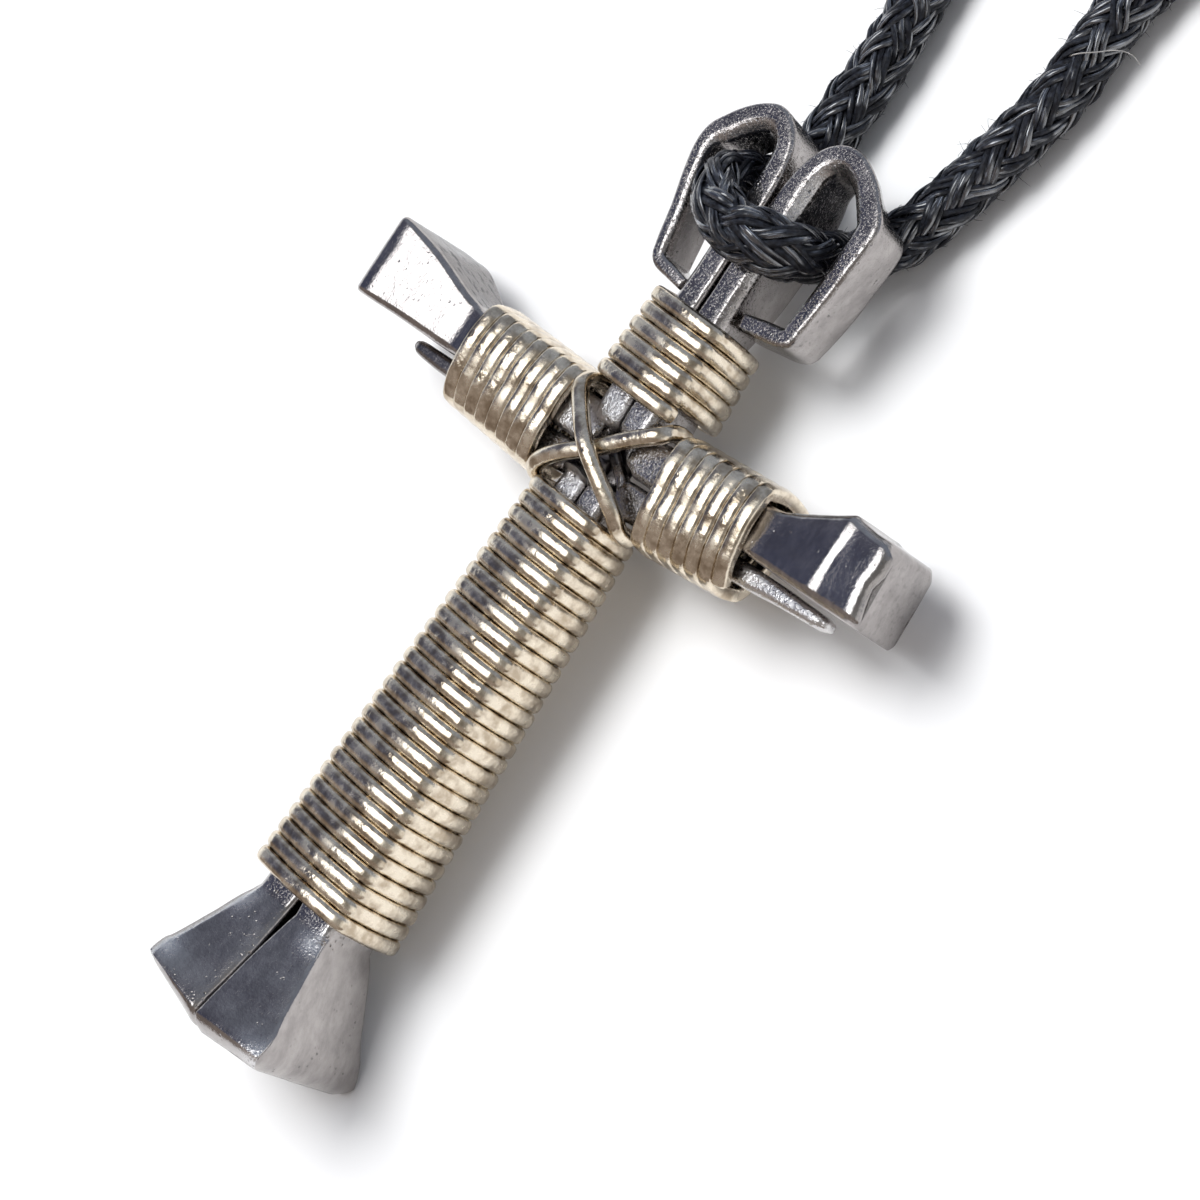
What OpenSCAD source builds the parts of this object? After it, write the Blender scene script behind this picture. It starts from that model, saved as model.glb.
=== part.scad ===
// Horseshoe nail cross on a cord, lying on its back: front up (+Z), foot towards -Y, arms along X

/* [Whole pendant] */
// Height of the pendant, from the end of the foot to the top of the heart
pendant_h = 51.4; // [50:0.1:52.4]
// Width over both arms
pendant_w = 34.4; // [32:0.1:36]
// How much further forward the heart lies than the foot
rise = 0.52; // [0.5:0.01:0.6]

/* [Long nails] */
// Width over both nails at the widest part of the foot
foot_w = 8.6; // [7.6:0.1:9]
// Depth of the heads at the widest part of the foot
foot_deep = 8; // [7:0.1:8.6]
// Height of the widest part above the end of the foot
foot_widest = 1.7; // [1:0.1:2.4]
// Height of the neck, where a head meets its shank
neck_y = 7; // [6:0.1:8]
// Width over both nails at the neck
neck_w = 5.25; // [4.8:0.05:5.8]
// Depth at the neck
neck_deep = 4; // [3.6:0.1:4.4]
// Width over both nails where the shaft winding begins, under the arms
waist_w = 3.3; // [3:0.1:3.7]
// Depth there
waist_deep = 2.4; // [2.1:0.1:2.8]
// Depth of the thin web behind and in front of which the arms pass
web_deep = 0.8; // [0.5:0.1:1]
// Width of the web
web_w = 2.2; // [1.8:0.1:2.4]
// Width over both nails above the arms
shoulder_w = 3.6; // [3.2:0.1:3.9]
// Depth above the arms
shoulder_deep = 3.5; // [3:0.1:3.7]
// Width over both nails at the bare stem
stem_w = 3.4; // [3:0.1:3.6]
// Depth of the bare stem
stem_deep = 2.9; // [2.6:0.1:3.1]
// Half of the V gap between the nails at the neck
neck_gap = 0.36; // [0.1:0.02:0.5]

/* [Heart] */
// How far the left curl reaches out from the middle
reach_left = 5.65; // [5.6:0.05:6.2]
// How far the right curl reaches out from the middle
reach_right = 6.2; // [6.1:0.05:6.6]
// Distance of the left curl's lower corner from the middle
toe_left = 4.65; // [4.4:0.05:5]
// Distance of the right curl's lower corner from the middle
toe_right = 5.35; // [5:0.05:5.5]
// Thickness of the strip at the crown of each curl
crown_t = 1.36; // [1.1:0.02:1.4]
// Thickness of the left curl at its side
strip_left = 0.95; // [0.8:0.05:1]
// Thickness of the right curl at its side
strip_right = 1.25; // [0.9:0.05:1.3]

/* [Arms] */
// Height of the crest of each arm's head
crest_tall = 4.35; // [3.8:0.1:4.6]
// Depth of the crest of each arm's head
crest_deep = 4.7; // [4:0.1:5]
// Lower edge of the heads and upper nails
arm_low = 32.95; // [32.8:0.05:33]
// Reach of the left nail's tip beyond the middle, under the right head
tip_left = 15.2; // [13:0.1:16]
// Reach of the right nail's tip beyond the middle, under the left head
tip_right = 13.9; // [12:0.1:16]

/* [Wire] */
// Thickness of the wire
wire_d = 0.81; // [0.6:0.01:0.84]
// Distance from one turn to the next
pitch = 0.84; // [0.82:0.01:0.9]
// Turns on the shaft
shaft_turns = 27; // [20:0.5:27]
// Turns over the arms, under the heart
top_turns = 5.5; // [4:0.5:5.5]
// Turns on the left arm
left_turns = 8; // [6:0.5:8]
// Turns on the right arm
right_turns = 6.5; // [5:0.5:6.5]

/* [Cord] */
// Thickness of the cord
cord_d = 2.9; // [2.6:0.1:2.9]
// Length of the sleeve that joins the cord's ends
sleeve_l = 12; // [8:1:16]
// Outside of the sleeve
sleeve_d = 3.9; // [3.7:0.1:4.2]

/* [Hidden] */
steel = [0.55, 0.56, 0.6];
silver = [0.8, 0.75, 0.66];
black = [0.08, 0.08, 0.1];

wire_gap = 0.05;
wire_off = wire_d / 2 + wire_gap;
shaft_top = 30.2;
shaft_low = shaft_top - pitch * shaft_turns;
top_top = 40.8;
top_low = top_top - pitch * top_turns;
web_low = 31.75;
web_top = 34.7;
arm_in = 2.5;
arm_mid = 10;

function mix(a, b, t) = a + (b - a) * t;
function part_of(v, a, b) = min(1, max(0, (v - a) / (b - a)));
function unit(v) = v / norm(v);
function lean(y) = rise * y / pendant_h;

// Half width and half depth of the pair of long nails at a height, away from the arms
function half_w(y) = y < web_low
    ? mix(neck_w, waist_w, part_of(y, neck_y, web_low)) / 2
    : mix(shoulder_w, stem_w, part_of(y, web_top + 1.2, top_top)) / 2;
function half_d(y) = y < web_low
    ? mix(neck_deep, waist_deep, part_of(y, neck_y, web_low)) / 2
    : mix(shoulder_deep, stem_deep, part_of(y, web_top + 1.2, top_top)) / 2;
function half_gap(y) = y < shaft_low ? mix(0.1, neck_gap, part_of(y, 0, neck_y)) : 0.08;

// A smooth run of rows through the given rows, with n steps between two of them
function curve_at(p0, p1, p2, p3, t) = 0.5 * (2 * p1 + (p2 - p0) * t
    + (2 * p0 - 5 * p1 + 4 * p2 - p3) * t * t + (3 * p1 - p0 - 3 * p2 + p3) * t * t * t);
function smooth_rows(rows, n) = concat([
    for (i = [0 : len(rows) - 2]) for (k = [0 : n - 1])
        curve_at(rows[max(0, i - 1)], rows[i], rows[i + 1], rows[min(len(rows) - 1, i + 2)], k / n)
], [rows[len(rows) - 1]]);

// Direction of a path at its point i
function along(path, i) = unit(path[min(len(path) - 1, i + 1)] - path[max(0, i - 1)]);

// A closed skin over rings of k points each, from the first ring to the last
module skin(rings) {
    k = len(rings[0]);
    last = (len(rings) - 1) * k;
    polyhedron(
        points = [for (ring = rings) for (p = ring) p],
        faces = concat(
            [[for (j = [0 : k - 1]) j]],
            [[for (j = [0 : k - 1]) last + k - 1 - j]],
            [for (i = [0 : len(rings) - 2]) for (j = [0 : k - 1])
                [i * k + j, (i + 1) * k + j, (i + 1) * k + (j + 1) % k, i * k + (j + 1) % k]]));
}

// A bar with bevelled edges, whose first rows, up to the number straight, are cut square to heading.
// Columns of a row: x, y, z, width across the path, depth along z, bevel, and how far the back's edge
// on the path's left is drawn in
module bar(rows, heading, straight) {
    path = [for (r = rows) [r[0], r[1], 0]];
    skin([for (i = [0 : len(rows) - 1])
        let (r = rows[i], d = i < straight ? heading : along(path, i), side = [-d[1], d[0], 0],
             a = r[3] / 2, b = r[4] / 2, c = r[5], k = r[6],
             corners = [[a, b - c], [a - c, b], [c - a, b], [-a, b - c],
                        [-a, c - b], [c - a, -b], [a - c - k, -b], [a - k, c - b]])
        [for (q = corners) [r[0], r[1], r[2]] + side * q[0] + [0, 0, q[1]]]]);
}

// A tube along a path, with two radii for each point: along the ring's first direction, which is
// carried along from one point to the next, and across it
module tube(path, radii, sides, first) {
    start = unit(first - (first * along(path, 0)) * along(path, 0));
    normals = [for (i = 0, n = start; i < len(path);
                    i = i + 1, n = i < len(path) ? unit(n - (n * along(path, i)) * along(path, i)) : n) n];
    skin([for (i = [0 : len(path) - 1])
        let (n = normals[i], m = cross(along(path, i), n))
        [for (j = [0 : sides - 1]) let (a = 360 * j / sides)
            path[i] + radii[i][0] * n * cos(a) + radii[i][1] * m * sin(a)]]);
}

// A winding around a section that changes from one end to the other. The corners of the section
// are listed in the winding's order, and the wire bends around each in two steps
function turn_normals(corners) = [for (i = [0 : len(corners) - 1])
    let (n = len(corners), before = unit(corners[i] - corners[(i + n - 1) % n]),
         after = unit(corners[(i + 1) % n] - corners[i]), turn = cross(before, after) > 0 ? 1 : -1,
         first = turn * [before[1], -before[0]], second = turn * [after[1], -after[0]])
    [first, unit(first + second), second]];
function turn_points(corners) = [for (i = [0 : len(corners) - 1]) for (m = turn_normals(corners)[i])
    corners[i] + wire_off * m];
function run_before(points, k) = k == 0 ? 0 : norm(points[k] - points[k - 1]) + run_before(points, k - 1);

// Points [u, v, s] of the wire: u and v across the section, s along the winding's axis
function wind(start, finish, s0, s1, turns) =
    let (middle = turn_points((start + finish) / 2), k = len(middle),
         round_trip = run_before(middle, k - 1) + norm(middle[0] - middle[k - 1]),
         share = [for (j = [0 : k - 1]) run_before(middle, j) / round_trip])
    [for (i = [0 : floor(turns * k)])
        let (t = (floor(i / k) + share[i % k]) / turns, p = turn_points(mix(start, finish, t))[i % k])
        [p[0], p[1], mix(s0, s1, t)]];

module wire(path, first) {
    color(silver) tube(path, [for (p = path) [wire_d / 2, wire_d / 2]], 6, first);
}

module place() {
    translate([0, -pendant_h / 2, foot_deep / 2 - lean(foot_widest)]) children();
}

// One long nail. The right one stands on +X, the left one is drawn on +X and then mirrored
module long_nail(reach, toe, t) {
    shank = [for (y = [0, foot_widest * 0.45, foot_widest, foot_widest + 0.7, 5.2, neck_y, shaft_low + 0.6,
                       20, web_low - 0.85, web_low, web_top, web_top + 1.2, top_low + 1, top_top + 0.4])
        let (head = y < neck_y,
             out = y == 0 ? foot_w / 2 - 0.6
                 : head ? mix(foot_w, neck_w, part_of(y, foot_widest + 0.3, neck_y)) / 2
                        - (y < foot_widest ? 0.2 : 0)
                 : y == web_low || y == web_top ? web_w / 2
                 : half_w(y),
             deep = y == 0 ? foot_deep - 2
                 : head ? mix(foot_deep, neck_deep, part_of(y, foot_widest, neck_y))
                        - (y < foot_widest ? 0.7 : 0)
                 : y == web_low || y == web_top ? web_deep
                 : 2 * half_d(y),
             inner = half_gap(y))
        [(out + inner) / 2, y, lean(y), out - inner, deep, head ? 0.35 : 0.2, 0]];
    half = stem_w / 2;
    stem_x = (half + 0.08) / 2;
    crown = pendant_h - crown_t / 2;
    // Stem, crown of the curl, outer leg, toe and tip. Columns: x, y, width, depth, bevel, and how far
    // the outer back edge is hammered in
    curl = [[stem_x, 44.5, half - 0.08, stem_deep, 0.2, 0],
            [stem_x, 46.6, half - 0.08, stem_deep, 0.2, 0],
            [stem_x + 0.06, 48.3, half - 0.15, stem_deep, 0.18, 0],
            [stem_x + 0.26, 49.6, crown_t, stem_deep, 0.16, 0],
            [half, crown - 0.3, crown_t, stem_deep, 0.15, 0.1],
            [mix(half, reach, 0.22), crown, crown_t, stem_deep, 0.15, 0.5],
            [mix(half, reach, 0.49), crown - 0.55, crown_t, stem_deep, 0.15, 0.85],
            [mix(half, reach, 0.74), crown - 1.5, mix(crown_t, t, 0.5), stem_deep, 0.15, 0.6],
            [reach - t / 2 - 0.06, 48.6, mix(crown_t, t, 0.9), stem_deep, 0.15, 0.1],
            [reach - t / 2, 47.7, t, stem_deep, 0.15, 0],
            [mix(reach, toe, 0.24) - t * 0.49, 46.3, t * 0.96, stem_deep * 0.9, 0.15, 0],
            [mix(reach, toe, 0.58) - t * 0.44, 44.8, t * 0.86, stem_deep * 0.74, 0.15, 0],
            [toe - t * 0.38, 42.9, t * 0.74, stem_deep * 0.56, 0.14, 0],
            [toe - 0.7, 42.15, t * 0.62, stem_deep * 0.5, 0.14, 0],
            [mix(half, toe, 0.42), 41.82, t * 0.52, stem_deep * 0.45, 0.12, 0],
            [half + 0.45, 41.52, t * 0.42, stem_deep * 0.4, 0.1, 0]];
    bar(concat(shank, [for (r = smooth_rows(curl, 3)) [r[0], r[1], lean(r[1]), r[2], r[3], r[4], r[5]]]),
        [0, 1, 0], len(shank) + 1);
}

module long_nail_left() {
    color(steel) place() mirror([1, 0, 0]) long_nail(reach_left, toe_left, strip_left);
}

module long_nail_right() {
    color(steel) place() long_nail(reach_right, toe_right, strip_right);
}

// Upper edge, and lower and upper edges of the lower nail, at a distance from the middle
function arm_top(x) = mix(35.15, 35.5, part_of(x, arm_in, arm_mid));
function arm_deep(x) = mix(2.8, 3.1, part_of(x, arm_in, arm_mid));
function tip_low(x, drop) = mix(31.2, 31.8, part_of(x, arm_in, arm_mid)) - drop;
function tip_high(x) = mix(32.78, 32.72, part_of(x, arm_in, arm_mid));
function tip_deep(x) = mix(2.2, 1.8, part_of(x, arm_in, arm_mid));

// One arm's nail, head on +X. It is thinned to pass the web in front or behind, and goes on under the
// other nail, whose wrap it widens downwards by drop
module cross_nail(front, tip, drop) {
    end_x = pendant_w / 2;
    web_z = front * (web_deep / 2 + 0.1 + 0.5);
    web_x = web_w / 2;
    crest_y = arm_low + crest_tall / 2;
    // Columns: x, middle height, offset forward, height, depth, bevel
    rows = concat(
        [[end_x, crest_y - 0.1, 0, crest_tall - 0.75, crest_deep - 0.9, 0.35],
         [end_x - 0.35, crest_y - 0.08, 0, crest_tall - 0.25, crest_deep - 0.4, 0.35],
         [end_x - 2.6, crest_y, 0.05, crest_tall, crest_deep, 0.35],
         [end_x - 3.6, crest_y - 0.12, 0.05, crest_tall - 0.35, crest_deep - 0.4, 0.3]],
        [for (x = [11, arm_mid, arm_in, web_x + 0.35])
            [x, (arm_low + arm_top(x)) / 2, 0.05, arm_top(x) - arm_low - (x < arm_in ? 0.3 : 0),
             arm_deep(x) - (x < arm_in ? 0.2 : 0), 0.25]],
        [[web_x + 0.2, 33.9, web_z, 1.3, 1, 0.15],
         [-web_x - 0.35, 32.55, web_z, 1, 1, 0.15]],
        [for (x = [web_x + 0.5, 3.9, arm_mid])
            [-x, (tip_low(x, drop) + tip_high(x)) / 2, 0, tip_high(x) - tip_low(x, drop) - (x < 2 ? 0.3 : 0),
             tip_deep(x), 0.2]],
        [[-mix(arm_mid, tip, 0.85), 32.33, 0.15, 0.75, 1.5, 0.18],
         [-tip, 32.36, 0.2, 0.4, 0.9, 0.12]]);
    bar([for (r = rows) [r[0], r[1], r[2] + lean(r[1]), r[3], r[4], r[5], 0]], [-1, 0, 0], len(rows));
}

module cross_nail_left() {
    color(steel) place() mirror([1, 0, 0]) cross_nail(1, tip_left, 0.18);
}

module cross_nail_right() {
    color(steel) place() cross_nail(-1, tip_right, 0);
}

// Windings on the upright: the section's corners from front left over front right to the back
function upright_section(y) =
    let (w = half_w(y), d = half_d(y))
    [[-w, lean(y) + d], [w, lean(y) + d], [w, lean(y) - d], [-w, lean(y) - d]];
module upright_wrap(low, high, turns) {
    place() wire([for (p = wind(upright_section(high), upright_section(low), high, low, turns))
        [p[0], p[2], p[1]]], [0, 1, 0]);
}

module shaft_wrap() {
    upright_wrap(shaft_low, shaft_top, shaft_turns);
}

module top_wrap() {
    upright_wrap(top_low, top_top, top_turns);
}

// Windings on an arm: around the upper nail's front and back and the lower nail's lower edge
function arm_section(x, drop) =
    let (d = arm_deep(x) / 2, e = tip_deep(x) / 2, z = lean(33.4))
    [[arm_top(x), z + 0.05 + d], [arm_low + 0.3, z + 0.05 + d], [tip_low(x, drop), z + e],
     [tip_low(x, drop), z - e], [arm_low + 0.3, z + 0.05 - d], [arm_top(x), z + 0.05 - d]];
module arm_wrap(inner, turns, drop) {
    outer = inner + pitch * turns;
    place() wire([for (p = wind(arm_section(inner, drop), arm_section(outer, drop), inner, outer, turns))
        [p[2], p[0], p[1]]], [1, 0, 0]);
}

module left_wrap() {
    mirror([1, 0, 0]) arm_wrap(3.55, left_turns, 0);
}

module right_wrap() {
    arm_wrap(4.2, right_turns, 0.18);
}

// The two strands of the X over the middle, from behind one arm to behind the other
module strand(points) {
    place() wire(smooth_rows([for (p = points) [p[0], p[1], p[2] + lean(p[1])]], 3), [0, 0, 1]);
}

module tie_over() {
    strand([[-2.6, 35.75, 0.4], [-2.75, 35.75, 1.5], [-2.7, 35.3, 2.15], [-1.8, 34.5, 2.6], [-0.05, 33.1, 3],
            [1.6, 31.95, 2.6], [2.8, 31.1, 2], [3.15, 30.5, 1.2], [3.2, 30.45, 0.2]]);
}

module tie_under() {
    strand([[-3, 30.6, 0.2], [-3, 30.65, 1.2], [-2.65, 31.15, 1.75], [-1.6, 32, 2.15], [-0.05, 33.1, 2.12],
            [1.6, 34.45, 2.15], [2.75, 35.3, 2.1], [2.9, 35.75, 1.4], [2.9, 35.75, 0.4]]);
}

// The cord's route, from one end at the sleeve, under the left curl, up through the left window,
// across the stem, down through the right window and round to the other end
cord_z = cord_d / 2 + 0.02;
sleeve_y = 246;
cord_route = [
    [-0.4, sleeve_y, 1.95], [-4, sleeve_y, 1.95], [-9, sleeve_y, 1.9], [-18, 245, 1.6], [-50, 230, 1.5],
    [-72, 198, cord_z], [-76, 160, cord_z], [-66, 120, cord_z], [-38, 86, cord_z], [-14, 61, cord_z],
    [-4.5, 44, cord_z], [-2.4, 33.5, cord_z], [-2.35, 26.5, cord_z], [-2.6, 24.4, 1.52], [-2.9, 22.8, 2.15],
    [-3, 22.2, 3.6], [-3, 21.8, 4.9], [-2.8, 21.3, 6], [-2.3, 20.7, 6.9], [-1.3, 20, 7.3],
    [0.2, 19.5, 7.35], [1.7, 19.6, 7.25], [2.7, 19.9, 6.6], [3.15, 20.3, 5.4], [3.3, 20.9, 3.7],
    [3.6, 21.8, 2.25], [4.4, 23.4, 1.52], [5.5, 26, cord_z], [7.25, 32.5, cord_z], [8.6, 42, cord_z],
    [16, 59, cord_z],
    [40, 86, cord_z], [66, 120, cord_z], [76, 160, cord_z], [72, 198, cord_z], [50, 230, 1.5],
    [18, 245, 1.6], [9, sleeve_y, 1.9], [4, sleeve_y, 1.95], [0.4, sleeve_y, 1.95]];

// The soft cord is squeezed against the stem from the windows on, and spreads to both sides over it
function squeeze(z) = 1 - 0.24 * part_of(z, 1.5, 3.2) + 0.02 * part_of(z, 6.8, 7.3);
function spread(z) = 1 + 0.14 * part_of(z, 5, 7);
module neck_cord() {
    path = smooth_rows(cord_route, 2);
    color(black) tube(path, [for (p = path) cord_d / 2 * [spread(p[2]), squeeze(p[2])]], 8, [0, 0, 1]);
}

module cord_sleeve() {
    color(steel)
        translate([-sleeve_l / 2, sleeve_y, sleeve_d / 2]) rotate([0, 90, 0]) difference() {
            cylinder(h = sleeve_l, d = sleeve_d, $fn = 48);
            translate([0, 0, -1]) cylinder(h = sleeve_l + 2, d = cord_d + 0.14, $fn = 48);
        }
}

long_nail_left();
long_nail_right();
cross_nail_left();
cross_nail_right();
shaft_wrap();
top_wrap();
left_wrap();
right_wrap();
tie_over();
tie_under();
neck_cord();
cord_sleeve();
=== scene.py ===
import math
import random

import bmesh
import bpy
import numpy as np
from mathutils import Matrix, Vector, noise


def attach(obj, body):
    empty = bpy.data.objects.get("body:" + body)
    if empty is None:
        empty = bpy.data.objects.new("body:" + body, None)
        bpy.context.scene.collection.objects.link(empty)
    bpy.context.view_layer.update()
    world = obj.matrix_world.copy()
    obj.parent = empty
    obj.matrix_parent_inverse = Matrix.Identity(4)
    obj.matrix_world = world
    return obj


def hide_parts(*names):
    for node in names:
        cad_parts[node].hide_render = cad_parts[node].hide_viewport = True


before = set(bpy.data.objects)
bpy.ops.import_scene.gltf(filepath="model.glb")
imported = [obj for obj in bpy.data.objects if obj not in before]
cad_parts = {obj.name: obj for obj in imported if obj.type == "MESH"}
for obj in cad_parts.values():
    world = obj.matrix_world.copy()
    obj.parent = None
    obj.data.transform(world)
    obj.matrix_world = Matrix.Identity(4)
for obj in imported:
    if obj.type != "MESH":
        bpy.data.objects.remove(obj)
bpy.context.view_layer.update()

print("frame loaded:", len(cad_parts), "nodes")

# The pendant lies on its back. Sizes below are in millimetres and y runs up from the end of the foot
pendant = {
    "height": 51.4,     # foot to heart
    "lift": 3.983,      # height of the nails' axis over the floor at the foot
    "rise": 0.52,       # how much the axis climbs towards the heart
}

camera = {
    "azimuth": 35.036,      # degrees from straight above towards +X
    "elevation": 2.727,     # degrees towards +Y
    "roll": 1.794,          # degrees
    "turn": 32.0,           # degrees by which the pendant leans over in the picture
    "distance": 174.166,
    "target": (3.361, 1.62, 4.0),
    "lens": 111.37, "sensor": 36,
}


def unit(vector):
    vector = np.array(vector, float)
    return vector / np.linalg.norm(vector, axis=-1, keepdims=True)


def addObject(name, data):
    made = bpy.data.objects.new(name, data)
    bpy.context.collection.objects.link(made)
    return made


def makeCamera():
    azimuth, elevation = math.radians(camera["azimuth"]), math.radians(camera["elevation"])
    tilt = math.radians(camera["roll"] + camera["turn"])
    back = np.array([math.sin(azimuth) * math.cos(elevation), math.sin(elevation),
                     math.cos(azimuth) * math.cos(elevation)])
    level = unit(np.cross([0, 1, 0], back))
    upward = np.cross(back, level)
    right = level * math.cos(tilt) + upward * math.sin(tilt)
    up = upward * math.cos(tilt) - level * math.sin(tilt)
    spot = (np.array(camera["target"]) + back * camera["distance"]) / 1000
    data = bpy.data.cameras.new("camera")
    data.lens = camera["lens"]
    data.sensor_width = camera["sensor"]
    data.clip_start = 0.005     # metres
    eye = addObject("camera", data)
    eye.matrix_world = Matrix([[right[i], up[i], back[i], spot[i]] for i in range(3)] + [[0, 0, 0, 1]])
    bpy.context.scene.camera = eye


makeCamera()
print("camera set")


# shape tools
def place(points):
    # from the pendant's own millimetres to the shared frame's
    moved = np.array(points, float)
    moved[..., 2] += pendant["lift"] + pendant["rise"] * moved[..., 1] / pendant["height"]
    moved[..., 1] -= pendant["height"] / 2
    return moved


def smoothRows(rows, steps):
    # a smooth run through the rows, with that many steps between two of them
    rows = np.array(rows, float)
    padded = np.vstack([rows[:1], rows, rows[-1:]])
    t = (np.arange(steps) / steps)[:, None]
    spans = []
    for i in range(len(rows) - 1):
        p0, p1, p2, p3 = padded[i:i + 4]
        spans.append(0.5 * (2 * p1 + (p2 - p0) * t + (2 * p0 - 5 * p1 + 4 * p2 - p3) * t * t
                            + (3 * p1 - p0 - 3 * p2 + p3) * t ** 3))
    return np.vstack(spans + [rows[-1:]])


def arcLength(points):
    return np.concatenate([[0], np.cumsum(np.linalg.norm(np.diff(points, axis=0), axis=1))])


def evenRows(rows, spacing, axes=3):
    run = arcLength(rows[:, :axes])
    wanted = np.linspace(0, run[-1], max(2, int(round(run[-1] / spacing)) + 1))
    return np.stack([np.interp(wanted, run, column) for column in rows.T], axis=1)


def headings(points):
    ahead = np.roll(points, -1, axis=0)
    behind = np.roll(points, 1, axis=0)
    ahead[-1], behind[0] = points[-1], points[0]
    return unit(ahead - behind)


def carriedFrames(points, first):
    # normals carried along a path without twisting, and their partners
    along = headings(points)
    normals = np.empty_like(points)
    normal = np.array(first, float)
    for i, d in enumerate(along):
        normal = normal - d * normal.dot(d)
        normal /= np.linalg.norm(normal)
        normals[i] = normal
    return normals, np.cross(along, normals)


noise.seed_set(1)       # the steel is as uneven in every run


def roughen(points, size, amount, seed=0.0):
    # pushes every point about by smooth noise
    flat = points.reshape(-1, 3)
    offset = Vector((seed, seed * 1.7, -seed))
    push = np.array([noise.noise_vector(Vector(p) / size + offset) for p in flat])
    return (flat + push * amount).reshape(points.shape)


def between(low, high, value, start, stop):
    return low + (high - low) * np.clip((value - start) / (stop - start), 0, 1)


def addMesh(name, rings, material, node=None, closed=True, run=None, marks=None, sharp=None):
    # skins over a list of ring stacks, each an array (rings, points round, 3) in millimetres. Each vertex
    # keeps its run (length along, share of the way round, number of the stack) and its mark for the materials
    vertices, faces, runs, markValues = [], [], [], []
    base = 0
    for index, stack in enumerate(rings):
        count, around = stack.shape[:2]
        grid = base + np.arange(count * around).reshape(count, around)
        ahead = np.roll(grid, -1, axis=1)
        faces += np.stack([grid[:-1], grid[1:], ahead[1:], ahead[:-1]], axis=-1).reshape(-1, 4).tolist()
        if closed:
            faces += [grid[0].tolist(), grid[-1][::-1].tolist()]
        vertices.append(stack.reshape(-1, 3))
        length = arcLength(stack.mean(axis=1)) if run is None else run[index]
        turn = np.arange(around) / around
        spot = np.broadcast_arrays(length[:, None], turn[None, :], float(index))
        runs.append(np.stack(spot, axis=-1).reshape(-1, 3))
        mark = 0.0 if marks is None else marks[index]
        markValues.append(np.broadcast_to(mark, (count, around)).reshape(-1))
        base += count * around
    mesh = bpy.data.meshes.new(name)
    mesh.from_pydata((np.concatenate(vertices) / 1000).tolist(), [], faces)
    layer = mesh.attributes.new("run", "FLOAT_VECTOR", "POINT")
    layer.data.foreach_set("vector", np.concatenate(runs).astype(np.float32).ravel())
    layer = mesh.attributes.new("mark", "FLOAT", "POINT")
    layer.data.foreach_set("value", np.concatenate(markValues).astype(np.float32))
    bm = bmesh.new()
    bm.from_mesh(mesh)
    bmesh.ops.recalc_face_normals(bm, faces=bm.faces)
    bm.to_mesh(mesh)
    bm.free()
    mesh.shade_smooth()
    if sharp:
        mesh.set_sharp_from_angle(angle=math.radians(sharp))
    mesh.materials.append(material)
    made = addObject(name, mesh)
    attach(made, "root")
    if node:
        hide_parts(*node)
    print(f"{name}: {sum(len(f) - 2 for f in faces)} triangles")
    return made


# shader tools
class Signal:
    # one socket of a material. Operators on it add Math nodes
    def __init__(self, look, socket):
        self.look, self.socket = look, socket

    def math(self, operation, other=0.0, swapped=False):
        first, second = (other, self) if swapped else (self, other)
        return self.look.add("ShaderNodeMath", {"operation": operation}, {0: first, 1: second})

    def __add__(self, other):
        return self.math("ADD", other)

    def __radd__(self, other):
        return self.math("ADD", other, swapped=True)

    def __sub__(self, other):
        return self.math("SUBTRACT", other)

    def __rsub__(self, other):
        return self.math("SUBTRACT", other, swapped=True)

    def __mul__(self, other):
        return self.math("MULTIPLY", other)

    def __rmul__(self, other):
        return self.math("MULTIPLY", other, swapped=True)

    def ramp(self, low, high):
        # smooth step from low to high
        return self.look.add("ShaderNodeMapRange", {"interpolation_type": "SMOOTHSTEP"},
                             {"Value": self, "From Min": low, "From Max": high})


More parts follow.
